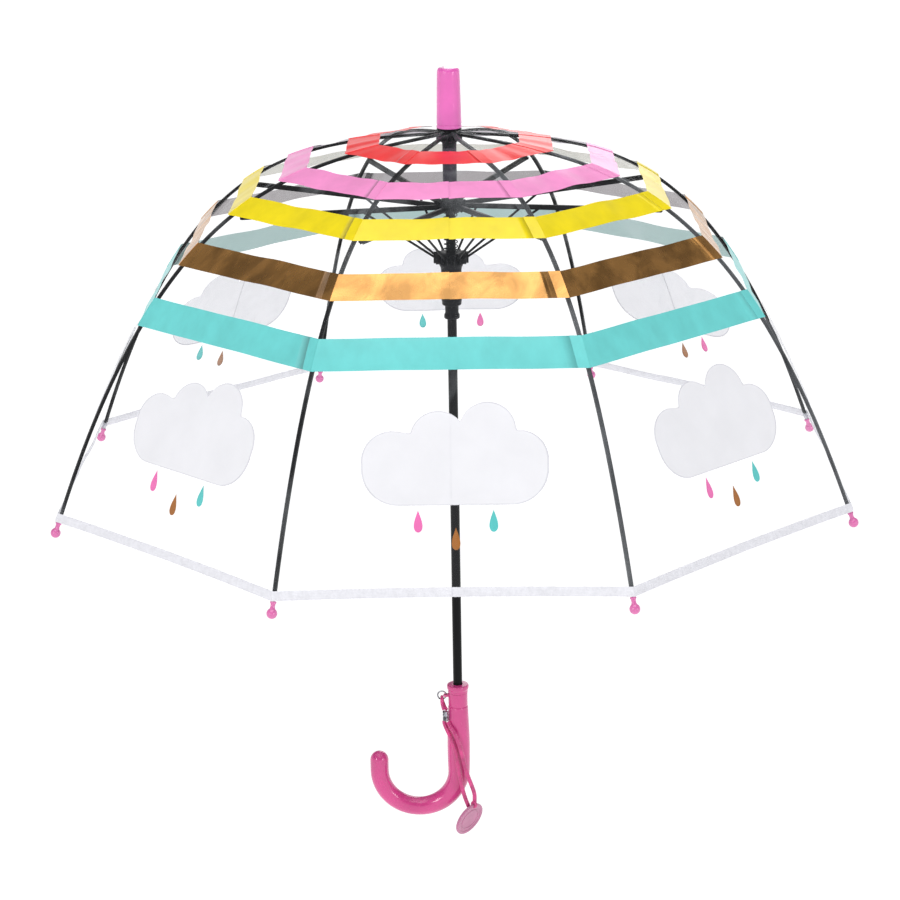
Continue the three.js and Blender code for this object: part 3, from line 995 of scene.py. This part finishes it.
def handle_stations():
    """Middle line and radius of the handle, from its neck down round the hook to the tip."""
    grip = mm([(42.3, 8.6), (31, 8.6), (30.3, 8.55), (29.9, 8.2), (29.4, 8.65), (28.6, 8.85)])
    grip += mm([(20, 9.2), (10, 9.6), (0, 9.95), (-8, 10.1), (-20, 10.05), (-26, 9.9)])
    grip += mm([(-31, 9.75)])
    stations = [(Vector((0, 0, height)), radius) for height, radius in grip]
    for k in range(1, 37):
        a = math.pi * k / 36
        middle = Vector((-HOOK_R + HOOK_R * math.cos(a), 0, HOOK_Z - HOOK_R * math.sin(a)))
        swell = HOOK_SWELL * max(0, 1 - k / HOOK_SWELL_STEPS) ** 1.3
        stations.append((middle, HOOK_TUBE_R + swell))
    for k in range(1, 4):
        middle = Vector((-2 * HOOK_R, 0, HOOK_Z + HOOK_END * k / 3))
        stations.append((middle, HOOK_TUBE_R))
    cap = [(math.sin(math.pi / 20 * k), math.cos(math.pi / 20 * k)) for k in range(1, 10)]
    for up, size in [*cap, CAP_SHARE]:
        middle = Vector((-2 * HOOK_R, 0, HOOK_Z + HOOK_END + HOOK_TUBE_R * up))
        stations.append((middle, HOOK_TUBE_R * size))
    return stations


LUG_R = mm(1.9)


def add_handle():
    """The handle with the lug for the strap's ring, its collar and the release button."""
    path, radii = zip(*handle_stations())
    body = Shape().swept(path, circle(1, 48), HANDLE, side=Y_AXIS, sizes=radii)
    section = circle(mm(0.75), 12, 1.5)
    body.hoop(RING_EYE, LUG_R, X_AXIS, Y_AXIS, section, HANDLE, 24, side=X_AXIS)
    root_place = Matrix.Translation(mm([-8.2, 0, 39.4]))
    body.block(mm([2.2, 4.6, 2.2]), root_place, HANDLE, mm(0.5))
    body.piece("handle_moulded", "pink_plastic", "root", "handle", sharp=50)

    collar = Shape()
    outline = mm([(8.8, 42.6), (8.9, 43.4), (8.9, 45.2), (9.6, 46.4), (9.7, 48.6), (9.3, 49.7)])
    outline += mm([(8.0, 50)])
    collar.turned(tube(rounded(outline, mm(0.8), 5), FIXED_BORE), HANDLE, sides=96)
    collar.piece("handle_collar_lipped", "pink_plastic", "root", "handle_collar")

    button = Shape()
    place = Matrix.Translation(mm([0, 6.6, 36.5])) @ Matrix.Rotation(-math.pi / 2, 4, "X")
    outline = mm([(0, 0), (3, 0), (3, 2.6), (2.6, 3.5), (1.6, 3.8), (0, 3.6)])
    button.turned(rounded(outline, mm(0.4)), HANDLE, place, 40)
    button.piece("release_button_cap", "pink_plastic", "release_button", "release_button")


add_handle()


# ---- floor, lights and background ----
LIT_POINT = Vector((0, 0, 0.3))


def add_stage():
    """A plain floor, far enough down for views from below and wide enough to meet the horizon."""
    floor = bpy.data.meshes.new("floor")
    reach, level = 400, -3
    corners = [(-reach, -reach), (reach, -reach), (reach, reach), (-reach, reach)]
    floor.from_pydata([(x, y, level) for x, y in corners], [], [(0, 1, 2, 3)])
    finish = Finish("floor", "BCBCBC", 0.9, Specular_IOR_Level=0.1, Emission_Strength=0.9)
    finish.set("Emission Color", (1, 1, 1, 1))
    floor.materials.append(finish.material)
    made = bpy.data.objects.new("floor", floor)
    bpy.context.scene.collection.objects.link(made)

    lights = (  # name, place, size, watts
        ("overhead", (0, -0.5, 2.6), 2.2, 30),
        ("front_left", (-1.9, -2.4, 1.3), 0.9, 21),
        ("front_right", (2.2, -2.0, 0.9), 0.8, 12),
        ("behind", (0.6, 2.6, 1.4), 1.4, 10),
    )
    for name, place, size, power in lights:
        data = bpy.data.lights.new(name, "AREA")
        data.size, data.energy = size, power
        light = bpy.data.objects.new(name, data)
        light.location = place
        aim = LIT_POINT - Vector(place)
        light.rotation_euler = aim.to_track_quat("-Z", "Y").to_euler()
        bpy.context.scene.collection.objects.link(light)


def add_world():
    """The room that the gloss pieces reflect: grey walls, bright below and at the ceiling."""
    world = bpy.data.worlds.new("studio")
    bpy.context.scene.world = world
    world.use_nodes = True
    nodes, links = world.node_tree.nodes, world.node_tree.links
    coordinates = nodes.new("ShaderNodeTexCoord")
    split = nodes.new("ShaderNodeSeparateXYZ")
    ramp = nodes.new("ShaderNodeValToRGB")
    ramp.color_ramp.elements[0].position = 0.0
    ramp.color_ramp.elements[0].color = (1.0, 1.0, 1.0, 1)
    ramp.color_ramp.elements[1].position = 1.0
    ramp.color_ramp.elements[1].color = (0.62, 0.62, 0.62, 1)
    for place, level in ((0.18, 1.0), (0.32, 0.31), (0.5, 0.155), (0.76, 0.175), (0.88, 0.62)):
        ramp.color_ramp.elements.new(place).color = (level, level, level * 1.02, 1)
    links.new(coordinates.outputs["Generated"], split.inputs["Vector"])
    links.new(split.outputs["Z"], ramp.inputs["Fac"])
    links.new(ramp.outputs["Color"], nodes["Background"].inputs["Color"])
    nodes["Background"].inputs["Strength"].default_value = 1.0


add_stage()
add_world()
bpy.context.scene.view_settings.view_transform = "Standard"
